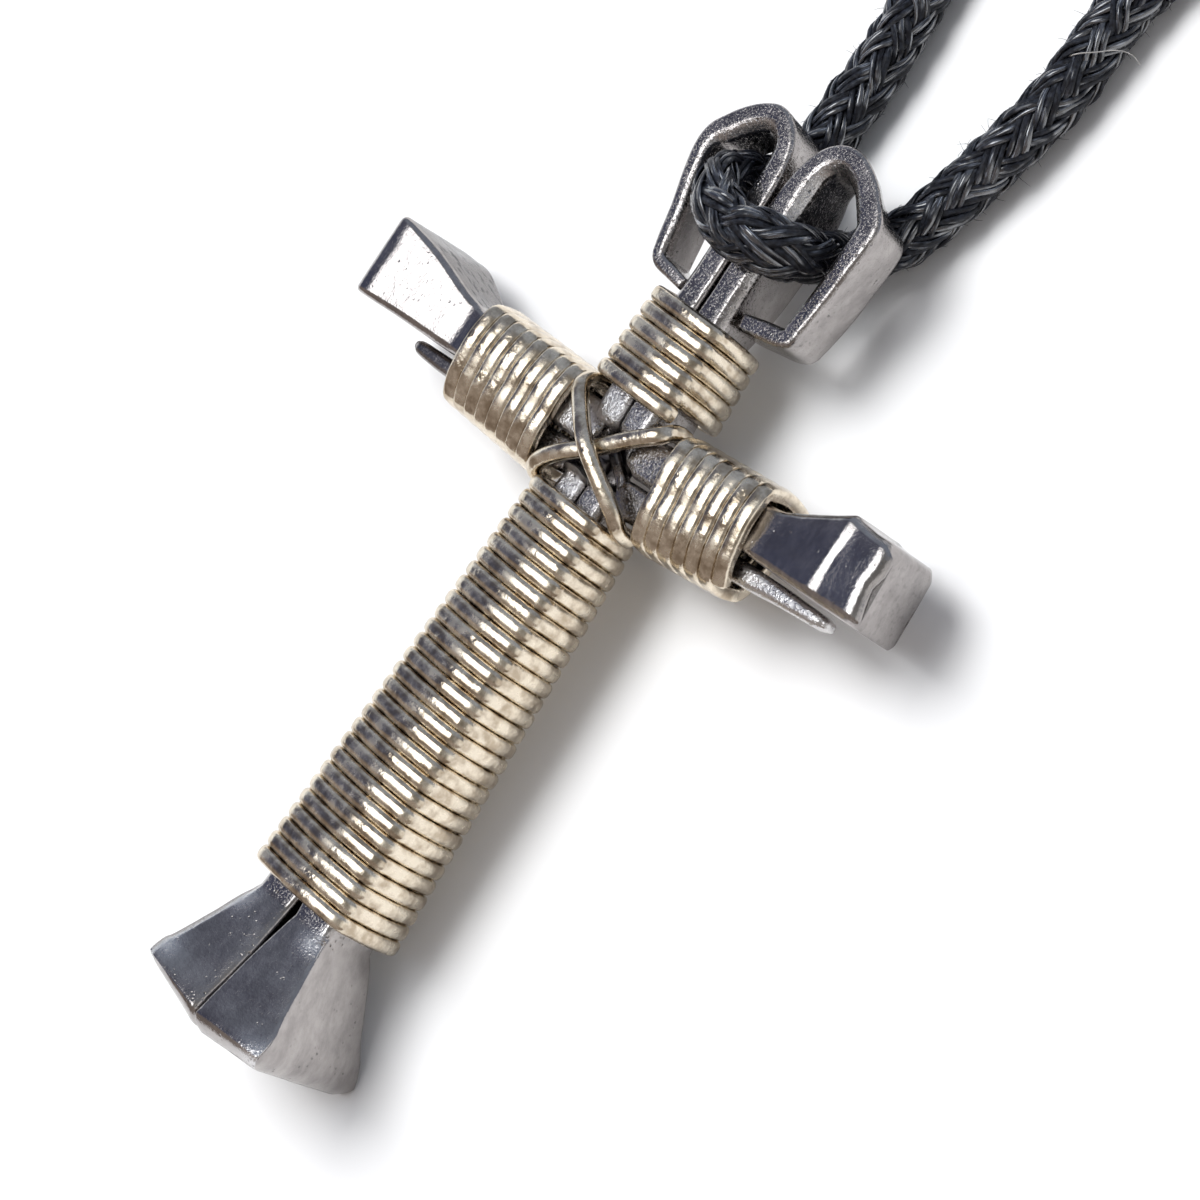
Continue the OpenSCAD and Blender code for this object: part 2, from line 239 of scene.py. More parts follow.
class Look:
    def __init__(self, name, tree=None):
        if tree is None:
            self.material = bpy.data.materials.new(name)
            self.material.use_nodes = True
            tree = self.material.node_tree
        self.tree = tree
        self.tree.nodes.clear()

    def add(self, kind, settings=None, inputs=None, out=0):
        # any node: its settings first, then values or links for its sockets
        node = self.tree.nodes.new(kind)
        for key, value in (settings or {}).items():
            setattr(node, key, value)
        for key, value in (inputs or {}).items():
            if isinstance(value, Signal):
                self.tree.links.new(value.socket, node.inputs[key])
            else:
                node.inputs[key].default_value = value
        return Signal(self, node.outputs[out]) if len(node.outputs) else node

    def noise(self, vector, size, detail=2.0, roughness=0.5):
        # noise whose blots are that many millimetres across
        return self.add("ShaderNodeTexNoise", {"noise_dimensions": "3D"},
                        {"Vector": vector, "Scale": 1000 / size, "Detail": detail, "Roughness": roughness})

    def cells(self, vector, size):
        return self.add("ShaderNodeTexVoronoi", {"feature": "F1"}, {"Vector": vector, "Scale": 1000 / size})

    def stretched(self, vector, factors):
        return self.add("ShaderNodeVectorMath", {"operation": "MULTIPLY"}, {0: vector, 1: factors})

    def blend(self, factor, first, second):
        return self.add("ShaderNodeMix", {"data_type": "RGBA"}, {0: factor, 6: first, 7: second}, out=2)

    def relief(self, *layers):
        # bumps over one another, each with its height and the millimetres for a height of 1
        normal = None
        for height, distance in layers:
            inputs = {"Height": height, "Distance": distance / 1000}
            if normal:
                inputs["Normal"] = normal
            normal = self.add("ShaderNodeBump", {}, inputs)
        return normal

    def attribute(self, name, out):
        return self.add("ShaderNodeAttribute", {"attribute_name": name}, {}, out=out)

    def coordinates(self, kind="Object"):
        return self.add("ShaderNodeTexCoord", {}, {}, out=kind)

    def parts(self, vector):
        first = self.add("ShaderNodeSeparateXYZ", {}, {"Vector": vector})
        return [Signal(self, socket) for socket in first.socket.node.outputs]

    def finish(self, inputs):
        surface = self.add("ShaderNodeBsdfPrincipled", {}, inputs)
        self.add("ShaderNodeOutputMaterial", {}, {"Surface": surface})
        return self.material


def rgb(red, green, blue):
    return (red, green, blue, 1.0)


# the cord, in the shared frame's millimetres
cord = {
    "thickness": 2.9,
    "strands": 8,               # in each direction
    "pitch": 14.5,              # length of one turn of a strand
    "coreRadius": 1.0,
    "weaveRadius": 1.09, "weave": 0.16,
    "strandWide": 0.43, "strandThick": 0.22,    # half sizes
    "strandSway": 0.09, "strandLift": 0.025, "strandPlump": 0.14,      # unevenness of the strands
    "threads": 3,               # in each strand
    "threadWide": 0.17, "threadThick": 0.1, "threadStep": 0.29, "threadCrown": 0.07,
    "threadWave": 0.05, "threadPlump": 0.2,     # unevenness of the threads
    "nearReach": 27,            # threads are modelled on this reach either way from the stem
    "nearSpacing": 0.28, "farSpacing": 1.05,
}
rest = cord["thickness"] / 2 + 0.02     # height of the cord's middle where it rests on the floor
sleeveY = 246       # where the two ends meet
cordRoute = [
    [-0.4, sleeveY, 1.95], [-4, sleeveY, 1.95], [-9, sleeveY, 1.9], [-18, 245, 1.6], [-50, 230, 1.5],
    [-72, 198, rest], [-76, 160, rest], [-66, 120, rest], [-38, 86, rest], [-14, 61, rest],
    [-4.5, 44, rest], [-2.4, 33.5, rest], [-2.35, 26.5, rest], [-2.6, 24.4, 1.52], [-2.9, 22.8, 2.15],
    [-3, 22.2, 3.6], [-3, 21.8, 4.9], [-2.8, 21.3, 6], [-2.3, 20.7, 6.9], [-1.3, 20, 7.3],
    [0.2, 19.5, 7.35], [1.7, 19.6, 7.25], [2.7, 19.9, 6.6], [3.15, 20.3, 5.4], [3.3, 20.9, 3.7],
    [3.6, 21.8, 2.25], [4.4, 23.4, 1.52], [5.5, 26, rest], [7.25, 32.5, rest], [8.6, 42, rest],
    [16, 59, rest], [40, 86, rest], [66, 120, rest], [76, 160, rest], [72, 198, rest],
    [50, 230, 1.5], [18, 245, 1.6], [9, sleeveY, 1.9], [4, sleeveY, 1.95], [0.4, sleeveY, 1.95]]
cordLook = {
    "dark": rgb(0.004, 0.004, 0.006),
    "light": rgb(0.02, 0.023, 0.032),
    "glint": rgb(0.3, 0.34, 0.42),      # painted glints along single fibres
    "roughness": (0.16, 0.4),
    "fibreDepth": 0.05,
    "fuzz": rgb(0.05, 0.052, 0.06),
    "pale": rgb(0.62, 0.6, 0.58),
}


def cordMaterial():
    look = Look("waxed_black_cotton")
    spot = look.coordinates()
    way = look.attribute("run", "Vector")
    along, around = look.parts(way)[:2]
    whole = look.attribute("mark", "Fac")      # 1 where a strand isn't divided into threads
    threads = (around * (2 * 2 * math.pi * cord["threads"]) + along * 1.2).math("SINE")
    fibres = look.noise(look.stretched(way, (1.1, 9.0, 7.3)), 1000, 3.0, 0.6)
    frayed = look.noise(spot, 0.25, 3.0, 0.65)
    wax = look.noise(look.stretched(way, (0.75, 1.7, 7.3)), 1000, 2.0, 0.5).ramp(0.46, 0.62)
    # painted glints: pale streaks along the threads where the wax lies
    pale = look.noise(look.stretched(way, (1.6, 22.0, 5.1)), 1000, 2.0, 0.6).ramp(0.55, 0.66)
    colour = look.blend(frayed.ramp(0.35, 0.7), cordLook["dark"], cordLook["light"])
    colour = look.blend(pale * wax * 0.5, colour, cordLook["glint"])
    low, high = cordLook["roughness"]
    relief = look.relief((threads * whole, 0.04), (fibres, cordLook["fibreDepth"]), (frayed, 0.03))
    return look.finish({"Base Color": colour, "Roughness": high - wax * (high - low),
                        "Normal": relief, "Specular IOR Level": 0.25, "Coat Weight": wax, "Coat IOR": 2.3,
                        "Coat Roughness": 0.13})


def fibreMaterial(name, colour):
    look = Look(name)
    patches = look.noise(look.coordinates(), 0.6, 2.0)
    shade = tuple(c * 0.5 for c in colour[:3]) + (1.0,)
    return look.finish({"Base Color": look.blend(patches.ramp(0.3, 0.7), shade, colour), "Roughness": 0.6})


def spread(height):
    # the soft cord spreads to both sides over the stem
    return between(1, 1.14, height, 5, 7)


def squeeze(height):
    # and is squeezed against it from the windows on
    return 1 - between(0, 0.24, height, 1.5, 3.2) + between(0, 0.02, height, 6.8, 7.3)


def waves(dice, lengths):
    # smooth wandering between about -1 and 1 along the cord
    total = sum(np.sin(2 * math.pi * (cordRun / length + dice.random())) for length in lengths)
    return total / math.sqrt(len(lengths))


def cordSteps(total, middle):
    # short steps where the cord is near the pendant, long ones round the back
    reach = cord["nearReach"]

    def stretch(start, stop, spacing):
        return np.linspace(start, stop, int(round((stop - start) / spacing)) + 1)[:-1]

    return np.concatenate([stretch(0, middle - reach, cord["farSpacing"]),
                           stretch(middle - reach, middle + reach, cord["nearSpacing"]),
                           stretch(middle + reach, total, cord["farSpacing"]), [total]])


def ovals(centres, across, outward, wide, thick, sides, squareness=2.0):
    # rings round the centres: ovals, and squarer ones where squareness is over 2
    turn = 2 * math.pi * (np.arange(sides) + 0.5) / sides
    c, s = (np.sign(v) * np.abs(v) ** (2 / squareness) for v in (np.cos(turn), np.sin(turn)))
    wide, thick = (np.broadcast_to(v, len(centres))[:, None, None] for v in (wide, thick))
    return (centres[:, None, :] + across[:, None, :] * wide * c[None, :, None]
            + outward[:, None, :] * thick * s[None, :, None])


def cordLine():
    # the points along the route, their lengths from its start, and the length at the stem
    line = evenRows(smoothRows(cordRoute, 24), 0.05)
    total = arcLength(line)
    middle = total[np.argmax(line[:, 2])]
    steps = cordSteps(total[-1], middle)
    path = np.stack([np.interp(steps, total, column) for column in line.T], axis=1)
    return path, steps, middle


cordPath, cordRun, cordMiddle = cordLine()
cordNormals, cordPartners = carriedFrames(cordPath, (0, 0, 1))


def squashed(stack, part):
    # that part of the round braid, spread sideways and squeezed where it bends round the stem
    path, normals, partners = (v[part][:, None, :] for v in (cordPath, cordNormals, cordPartners))
    sideways = ((stack - path) * normals).sum(-1, keepdims=True)
    inwards = ((stack - path) * partners).sum(-1, keepdims=True)
    height = path[..., 2:]
    return (stack + normals * sideways * (spread(height) - 1)
            + partners * inwards * (squeeze(height) - 1))


def strandLine(k, way, dice):
    # the middle of a strand, the directions across it and out of the cord, and how plump it is
    start = k + (0.5 if way < 0 else 0)
    angle = 2 * math.pi * (start / cord["strands"] + way * cordRun / cord["pitch"])
    lift = way * cord["weave"] * np.cos(cord["strands"] / 2 * angle)
    angle += cord["strandSway"] * waves(dice, (5.3, 9.1))
    radius = cord["weaveRadius"] + lift + cord["strandLift"] * waves(dice, (3.1, 7.7))
    outward = cordNormals * np.cos(angle)[:, None] + cordPartners * np.sin(angle)[:, None]
    strand = cordPath + outward * radius[:, None]
    plump = 1 + cord["strandPlump"] * waves(dice, (4.3, 6.9))
    return strand, unit(np.cross(headings(strand), outward)), outward, plump


def makeCord():
    near = np.nonzero(np.abs(cordRun - cordMiddle) <= cord["nearReach"] + 0.01)[0]
    before, after, near = slice(0, near[0] + 1), slice(near[-1], None), slice(near[0], near[-1] + 1)
    rings, spans, marks = [], [], []

    def keep(stack, part, mark):
        rings.append(squashed(stack, part))
        spans.append(cordRun[part])
        marks.append(mark)

    dice = random.Random(7)
    wave = cord["threadWave"]
    for way in (1, -1):
        for k in range(cord["strands"]):
            strand, across, outward, plump = strandLine(k, way, dice)
            for part in (before, after):
                keep(ovals(strand[part], across[part], outward[part], cord["strandWide"] * plump[part],
                           cord["strandThick"], 5), part, 1.0)
            for j in range(cord["threads"]):
                beside = j - (cord["threads"] - 1) / 2
                shift = beside * cord["threadStep"] * plump + wave * waves(dice, (2.3, 3.9, 6.1))
                rise = cord["threadCrown"] * (1 - abs(beside)) + wave * 0.8 * waves(dice, (1.9, 3.3, 5.7))
                thread = strand + across * shift[:, None] + outward * rise[:, None]
                size = (1 + cord["threadPlump"] * waves(dice, (1.7, 4.9)))[near]
                keep(ovals(thread[near], across[near], outward[near], cord["threadWide"] * size,
                           cord["threadThick"] * size, 6, 2.6), near, 0.0)
    core = cord["coreRadius"]
    keep(ovals(cordPath, cordNormals, cordPartners, core, core, 8), slice(None), 0.0)
    return addMesh("braided_cord", rings, waxedCotton, ["neck_cord"], run=spans, marks=marks)


waxedCotton = cordMaterial()
neckCord = makeCord()
print(f"cord {cordRun[-1]:.1f} mm long")

fuzz = {
    "near": 420, "far": 420,        # hairs beside the pendant and along the whole cord
    "farReach": 290,
    "length": (0.2, 0.7), "radius": 0.016,
    "rootDepth": 0.12,              # how deep in the braid a hair starts
    "lowest": 0.05, "widest": 75,   # a hair beyond these is left out
    "strayRadius": 0.045,           # the pale fibre on the cord
    "stray": [[7.2, 34.6, 2.5], [7.9, 34.9, 2.95], [8.5, 35.35, 2.75], [9.1, 36, 2.2], [9.6, 36.2, 1.7],
              [10.1, 36.0, 1.5]],
}


def hair(points, radius):
    normals, partners = carriedFrames(points, (0.3, 0.5, 0.8))
    size = radius * np.linspace(1, 0.5, len(points))
    return ovals(points, normals, partners, size, size, 3)


def makeFuzz():
    dice = random.Random(21)
    rings = []
    for i in range(fuzz["near"] + fuzz["far"]):
        reach = cord["nearReach"] if i < fuzz["near"] else fuzz["farReach"]
        k = int(np.argmin(np.abs(cordRun - cordMiddle - dice.uniform(-reach, reach))))
        angle, length = dice.uniform(0, 2 * math.pi), dice.uniform(*fuzz["length"])
        height = cordPath[k][2]
        outward = cordNormals[k] * math.cos(angle) + cordPartners[k] * math.sin(angle)
        c, s = abs(math.cos(angle)), abs(math.sin(angle))
        size = (spread(height) * c + squeeze(height) * s) / (c + s)
        aside = np.array([dice.uniform(-1, 1) for _ in range(3)])
        start = cordPath[k] + outward * (cord["thickness"] / 2 - fuzz["rootDepth"]) * size
        t = np.linspace(0, 1, 5)[:, None]
        points = start + (outward * t * 0.8 + aside * (0.3 * t + 0.7 * t * t)) * length * 0.6
        if points[:, 2].min() > fuzz["lowest"] and abs(points[0, 0]) < fuzz["widest"]:
            rings.append(hair(points, fuzz["radius"]))
    addMesh("cord_fuzz", rings, fibreMaterial("cotton_fuzz", cordLook["fuzz"]))
    stray = evenRows(smoothRows(fuzz["stray"], 6), 0.2)
    addMesh("stray_fibre", [hair(stray, fuzz["strayRadius"])],
            fibreMaterial("pale_fibre", cordLook["pale"]))


makeFuzz()

sleeve = {
    "length": 12.0, "outside": 1.95, "bore": 1.52,      # outside and bore are radii
    "dark": rgb(0.42, 0.42, 0.44), "light": rgb(0.58, 0.58, 0.6),
}


def makeSleeve():
    half, outside, bore = sleeve["length"] / 2, sleeve["outside"], sleeve["bore"]
    # a rolled rim at each end and a fine groove beside it: distance along, radius
    rim = [(half - 0.25, bore), (half - 0.05, bore + 0.08), (half, bore + 0.2), (half - 0.04, outside - 0.1),
           (half - 0.16, outside), (half - 0.9, outside), (half - 1.0, outside - 0.06), (half - 1.1, outside)]
    profile = [(-x, r) for x, r in rim] + rim[::-1] + [(-rim[0][0], rim[0][1])]
    turn = 2 * math.pi * np.arange(64) / 64
    rings = np.array([[[x, sleeveY + r * math.cos(t), outside + r * math.sin(t)] for t in turn]
                      for x, r in profile])
    look = Look("satin_sleeve_steel")
    spot = look.coordinates()
    brushed = look.noise(look.stretched(spot, (1.0, 0.08, 0.08)), 0.1, 3.0)
    patches = look.noise(spot, 2.0, 2.0)
    colour = look.blend(patches.ramp(0.3, 0.7), sleeve["dark"], sleeve["light"])
    material = look.finish({"Base Color": colour, "Metallic": 1.0, "Roughness": 0.24 + brushed * 0.2,
                            "Normal": look.relief((brushed, 0.01))})
    return addMesh("joining_sleeve", [rings], material, ["cord_sleeve"], closed=False, sharp=40)


cordSleeve = makeSleeve()
print("cord and sleeve made")

nailLook = {
    "dark": rgb(0.3, 0.28, 0.272),
    "light": rgb(0.47, 0.44, 0.425),
    # the pale colour paints wear and painted highlights, the dark one grime in the pits and painted shade
    "wornAndShine": rgb(0.78, 0.77, 0.77),
    "grimeAndShade": rgb(0.03, 0.028, 0.03), "grimeShare": 0.45,        # how much of it lies in the pits
    "roughness": (0.1, 0.24),
    "pitSize": 0.34, "pitDepth": 0.02,
    "peelSize": 0.14, "peelDepth": 0.01,        # fine orange peel
    "speckSize": 0.11, "speckDepth": 0.014, "speckFoot": 0.2,       # on the long nails, less on the foot
    "hammerSize": 1.0, "hammerDepth": 0.026,
    "dentSize": 0.16, "dentDepth": 0.07,        # where they are hammered bright
    "drawnDepth": 0.002,        # fine lines along the nails
}


def nailMaterial():
    look = Look("bright_nail_steel")
    spot = look.coordinates()
    patches = look.noise(look.stretched(spot, (1.0, 0.5, 1.0)), 0.9, 4.0, 0.7)
    hammer = look.noise(spot, nailLook["hammerSize"], 3.0, 0.55)
    peel = look.noise(spot, nailLook["peelSize"], 3.0, 0.6)
    pits = look.cells(spot, nailLook["pitSize"]).ramp(0.1, 0.28)
    across, along = look.parts(spot)[:2]
    shank = 1 - across.math("ABSOLUTE").ramp(0.0065, 0.008)      # the long nails, within 8 mm of the middle
    foot = nailLook["speckFoot"]
    sparse = look.noise(spot, 1.3, 1.0).ramp(0.5, 0.66) * (0.4 + shank * 0.6)
    specks = look.noise(spot, nailLook["speckSize"], 2.0, 0.6).ramp(0.52, 0.78) * shank
    specks = specks * (foot + along.ramp(-0.0195, -0.0165) * (1 - foot))
    drawn = look.noise(look.stretched(spot, (1.0, 0.06, 1.0)), 0.1, 2.0)
    # a mark above 0 paints grime and painted shade, below 0 it paints hammered wear and painted highlights
    signed = look.attribute("mark", "Fac")
    mark = signed.math("MAXIMUM", 0.0)
    wornAndShine = (0 - signed).math("MAXIMUM", 0.0)
    scratch = look.noise(look.stretched(spot, (0.16, 1.0, 1.0)), 0.3, 2.0).ramp(0.54, 0.66)
    dented = look.noise(spot, nailLook["dentSize"], 2.0, 0.6)
    colour = look.blend(patches.ramp(0.2, 0.8), nailLook["dark"], nailLook["light"])
    # pale where worn and where highlights are painted, dark with grime in the pits and with painted shade
    colour = look.blend(wornAndShine, colour, nailLook["wornAndShine"])
    colour = look.blend((1 - pits) * sparse * nailLook["grimeShare"], colour, nailLook["grimeAndShade"])
    colour = look.blend(mark + mark * scratch, colour, nailLook["grimeAndShade"])
    low, high = nailLook["roughness"]
    shine = low + (patches * 0.5 + peel * 0.5).ramp(0.35, 0.7) * (high - low) + mark * 0.25 + wornAndShine * 0.2
    relief = look.relief((hammer, nailLook["hammerDepth"]), (dented * wornAndShine, nailLook["dentDepth"]),
                         (drawn, nailLook["drawnDepth"]), (specks, nailLook["speckDepth"]),
                         (peel, nailLook["peelDepth"]), (1 - (1 - pits) * sparse, nailLook["pitDepth"]))
    return look.finish({"Base Color": colour, "Metallic": 1.0, "Roughness": shine, "Normal": relief})


nailSteel = nailMaterial()
print("nail steel made")


def bevelledRings(rows, heading, fillet=0.12, flats=3):
    # rows: x, y, z, width, depth, four bevels (front left, front right, back right, back left), then how
    # far the back left and front right edges are drawn in. Left is the path's own, heading its directions
    rows = np.array(rows, float)
    a, b = rows[:, 3] / 2, rows[:, 4] / 2
    limit = np.minimum(a, b) * 0.92
    c0, c1, c2, c3 = (np.minimum(rows[:, 5 + i], limit) for i in range(4))
    backIn, frontIn = rows[:, 9], rows[:, 10]
    corners = [(a, b - c0), (a - c0, b), (c1 - a + frontIn, b), (frontIn - a, b - c1),
               (-a, c2 - b), (c2 - a, -b), (a - c3 - backIn, -b), (a - backIn, c3 - b)]
    corners = np.stack([np.stack(pair, axis=1) for pair in corners], axis=1)
    loop = []
    for i in range(8):
        here, before, after = corners[:, i], corners[:, i - 1], corners[:, (i + 1) % 8]
        back, forth = before - here, after - here
        reach = [np.linalg.norm(v, axis=1, keepdims=True) for v in (back, forth)]
        cut = [np.minimum(fillet, 0.4 * r) for r in reach]
        first, last = here + back / reach[0] * cut[0], here + forth / reach[1] * cut[1]
        loop += [first, 0.25 * (first + last) + 0.5 * here, last]
        if i % 2:       # the flats follow the odd corners
            stop = after - forth / reach[1] * cut[1]
            loop += [last + (stop - last) * (j + 1) / (flats + 1) for j in range(flats)]
    loop = np.stack(loop, axis=1)
    heading = unit(np.array(heading, float))
    side = np.stack([-heading[:, 1], heading[:, 0], 0 * heading[:, 0]], axis=1)
    return (rows[:, None, :3] + side[:, None, :] * loop[..., :1]
            + np.array([0, 0, 1.0]) * loop[..., 1:2])


def roundedEnd(ring, outward, reach, steps=4):
    # rings that close an end softly beyond the given ring
    middle = ring.mean(axis=0)
    made = []
    for j in range(1, steps + 1):
        t = j / (steps + 0.35)
        made.append(middle + (ring - middle) * math.sqrt(1 - t * t) ** 0.7 + np.array(outward) * reach * t)
    return np.array(made)


longNail = {
    # widths and depths are of both nails together
    "footWidth": 8.6, "footDepth": 8.3, "footWidest": 1.9, "footDeepest": 0.8,
    # height from the end of the foot, width and depth
    "neck": (7.0, 5.25, 4.0), "waist": (31.75, 3.3, 2.4), "shoulder": (35.9, 3.6, 3.5),
    "stem": (40.8, 3.4, 2.9),
    "crossY": 33.15, "webWidth": 2.2, "webDepth": 0.8,
    "footGap": 0.03, "neckGap": 0.2, "wiredGap": 0.06,      # half of the gap between the two nails
    "endBand": 0.95,        # height of the rounded band round the end of the foot
    "scoop": 0.2,           # how far the ends over the crossing are rounded
    "crownThickness": 1.36,
    # reach and toe: how far out the top and the end of the curl's outer leg are. strip: its thickness.
    # ridge and outer are bevels, flare widens the foot's end, edge paints a shade line outside the outer
    # bevel and a highlight on it, glints are painted highlights: across, up and size
    "left": {"reach": 5.65, "toe": 4.65, "strip": 0.95, "endSlant": 1.1, "ridge": 0.22, "flare": 0.12,
             "outer": 0.4, "outerLift": 0.2, "edge": 0.8, "wornAndShine": 1.0,
             "glints": [[2.9, 6.1, 0.8], [4.1, 2.0, 1.0]]},
    "right": {"reach": 6.2, "toe": 5.35, "strip": 1.25, "endSlant": 0.4, "ridge": 0.12, "flare": 0.45,
              "outer": 0.14, "outerLift": 0, "edge": 0, "wornAndShine": 0.35,
              "glints": [[2.2, 6.5, 0.7], [4.2, 0.8, 0.9]]},
}


def shankHalf(y):
    # half width and half depth of the pair of long nails where the wire is wound
    ends = ("neck", "waist") if y < longNail["waist"][0] else ("shoulder", "stem")
    (y0, wide0, deep0), (y1, wide1, deep1) = (longNail[end] for end in ends)
    return between(wide0, wide1, y, y0, y1) / 2, between(deep0, deep1, y, y0, y1) / 2


def shankRow(y, side):
    n = longNail
    neckY, neckWidth, neckDepth = n["neck"]
    wide, deep = shankHalf(y)
    inner, bevel, outer = n["wiredGap"], 0.16, 0.3
    if y < 7.5:     # the gap opens as a V towards the neck
        gap = n["neckGap"] - n["footGap"]
        inner = n["footGap"] + between(0, gap, y, 3.6, neckY) ** 1.5 / math.sqrt(gap)
    if y < neckY:
        wide = between(n["footWidth"], neckWidth, y, n["footWidest"] + 0.4, neckY) / 2
        deep = between(n["footDepth"], neckDepth, y, n["footDeepest"], neckY) / 2
        wide += side["flare"] * max(0, 1 - y / 2.6) ** 0.7 - 0.2 * max(0, 1 - y / n["footWidest"]) ** 2
        wide -= 0.35 * max(0, 1 - y / n["endBand"]) ** 2
        deep -= 0.9 * max(0, 1 - y / n["endBand"]) ** 2
        bevel, outer = side["ridge"], side["outer"]
        inner += 0.2 * max(0, 1 - y / 0.7) ** 2
    if 31.45 < y < 35.0:    # thinned to a web where the arms pass
        share = 0 if 32 < y < 34.2 else 0.85 if 31.7 < y < 34.5 else 0.97
        wide = n["webWidth"] / 2 + (wide - n["webWidth"] / 2) * share
        deep = n["webDepth"] / 2 + (deep - n["webDepth"] / 2) * share
    return [(wide + inner) / 2, y, 0, wide - inner, 2 * deep, bevel, outer, outer, bevel, 0, 0]


def longNailRows(side):
    heights = (0, 0.1, 0.25, 0.5, 0.78, 0.85, 1.2, 1.5, 1.9, 2.3, 3.2, 4.4, 5.6, 6.5, 7.0, 8.1, 14, 20, 26,
               30.4, 31.0, 31.5, 31.85, 32.05, 34.1, 34.35, 34.7, 35.4, 35.9, 37.2, 40.0)
    shank = evenRows(np.array([shankRow(y, side) for y in heights]), 0.16, 2)
    half, deep, crownThick = longNail["stem"][1] / 2, longNail["stem"][2], longNail["crownThickness"]
    crown, thick, reach, toe = pendant["height"] - crownThick / 2, side["strip"], side["reach"], side["toe"]
    stem, front = (half + 0.08) / 2, deep / 2

    def out(t):
        return half + (reach - half) * t

    def down(t):
        return reach + (toe - reach) * t

    def thinned(t):
        return crownThick + (thick - crownThick) * t

    # stem, crown, outer leg, toe and tip: x, y, thickness, depth, left and right front bevel, back bevel, how
    # far the back left edge is drawn in and the front's height
    curl = [[stem, 42.2, half - 0.08, 3.6, 0.14, 0.4, 0.2, 0, front],
            [stem, 43.6, half - 0.08, 3.8, 0.14, 0.4, 0.2, 0, front],
            [stem, 46.6, half - 0.08, 4.0, 0.14, 0.45, 0.2, 0, front],
            [stem + 0.06, 48.3, half - 0.15, 3.7, 0.14, 0.55, 0.18, 0, front],
            [stem + 0.26, 49.6, crownThick, 3.2, 0.14, 0.52, 0.16, 0, front],
            [half, crown - 0.3, crownThick, deep, 0.14, 0.52, 0.15, 0.1, front],
            [out(0.22), crown, crownThick, deep, 0.14, 0.5, 0.15, 0.5, front],
            [out(0.49), crown - 0.55, crownThick, deep, 0.14, 0.48, 0.15, 0.85, front],
            [out(0.74) - 0.06, crown - 1.55, thinned(0.5) + 0.14, deep, 0.14, 0.42, 0.15, 0.6, front],
            [reach - thick / 2 - 0.14, 48.6, thinned(0.9) + 0.16, deep, 0.16, 0.34, 0.15, 0.1, front],
            [reach - thick / 2, 47.7, thick, deep, 0.18, 0.2, 0.15, 0, front],
            [down(0.24) - thick * 0.49, 46.3, thick * 0.96, deep, 0.18, 0.2, 0.15, 0, front * 0.9],
            [down(0.58) - thick * 0.44, 44.8, thick * 0.9, deep, 0.16, 0.2, 0.15, 0, front * 0.76],
            [toe - thick * 0.38, 42.9, thick * 0.84, deep * 0.95, 0.16, 0.18, 0.14, 0, front * 0.68],
            [toe - 0.7, 42.25, thick * 0.78, deep * 0.9, 0.14, 0.16, 0.12, 0, front * 0.64],
            [half + (toe - half) * 0.42, 42.02, thick * 0.76, deep * 0.85, 0.12, 0.14, 0.1, 0, front * 0.62],
            [half + 0.4, 41.84, thick * 0.68, deep * 0.8, 0.1, 0.1, 0.08, 0, front * 0.58]]
    x, y, thickness, depth, left, right, back, drawn, top = evenRows(smoothRows(curl, 12), 0.16, 2).T
    curl = np.stack([x, y, top - depth / 2, thickness, depth, left, right, back, back, drawn, 0 * x], axis=1)
    straight = np.tile([0, 1.0, 0], (len(shank), 1))
    turning = headings(np.stack([x, y, 0 * x], axis=1))
    return np.vstack([shank, curl]), np.vstack([straight, turning])


def makeLongNail(name, node, side, sign, seed):
    rows, heading = longNailRows(side)
    rings = bevelledRings(rows, heading)
    rings = np.concatenate([rings, roundedEnd(rings[-1], heading[-1], 0.2)])
    x, y, depth = (rings[..., i].copy() for i in range(3))
    rings[..., 1] += side["endSlant"] * x / (longNail["footWidth"] / 2) * np.clip(1 - y / 2.6, 0, 1)
    # rounded ends over the crossing
    rise = y - longNail["crossY"]
    close = np.clip(1 - np.abs(np.abs(rise) - 1.3), 0, 1)
    rings[..., 1] += longNail["scoop"] * np.sign(rise) * (((x - 0.9) / 0.8) ** 2 - 0.3) * close
    # some of the points round: the front, its outer bevel's upper and lower edge, and the outer side
    front, upper, lower, outside = slice(4, 12), slice(10, 12), slice(12, 15), slice(13, 17)
    # the left nail's outer front edge is soft, with a painted shade line outside it and a painted highlight
    # on its bevel
    foot = np.clip(7 - y[:, lower], 0, 1)
    rings[:, lower, 2] += side["outerLift"] * foot
    edge = np.zeros_like(y)
    edge[:, outside] = side["edge"] * foot[:, :1]
    edge[:, upper] -= side["edge"] * 0.7 * foot[:, :2]
    # painted highlight on the heart's inner bevel
    edge[:, 11:13] -= 0.5 * np.clip(y[:, 11:13] - 43, 0, 1)      # bright inner bevel of the heart
    # painted highlights: soft bright spots on the foot's front
    for across, up, size in side["glints"]:
        near = np.exp(-((x - across) ** 2 + (y - up) ** 2) / size ** 2)
        edge[:, front] -= near[:, front]
    rings[..., 0] *= sign
    rings = roughen(rings, 2.4, 0.03, seed)
    rings = roughen(rings, 0.7, 0.01, seed + 5)
    # painted shade where it is hidden in the crossing, worn bright where it comes out of the wire
    crossingShade = np.clip(1.15 - np.abs(rise) / 1.6, 0, 1) * np.clip(1.1 - np.abs(depth), 0, 1)
    wornAndShine = side["wornAndShine"] * np.clip(1.7 - np.abs(np.abs(rise) - 1.8) / 0.8, 0, 1) * np.clip(depth - 0.5, 0, 1)
    addMesh(name, [place(rings)], nailSteel, [node], marks=[crossingShade - wornAndShine + edge], sharp=50)


makeLongNail("steel_nail_left", "long_nail_left", longNail["left"], -1, 3.1)
makeLongNail("steel_nail_right", "long_nail_right", longNail["right"], 1, 8.4)

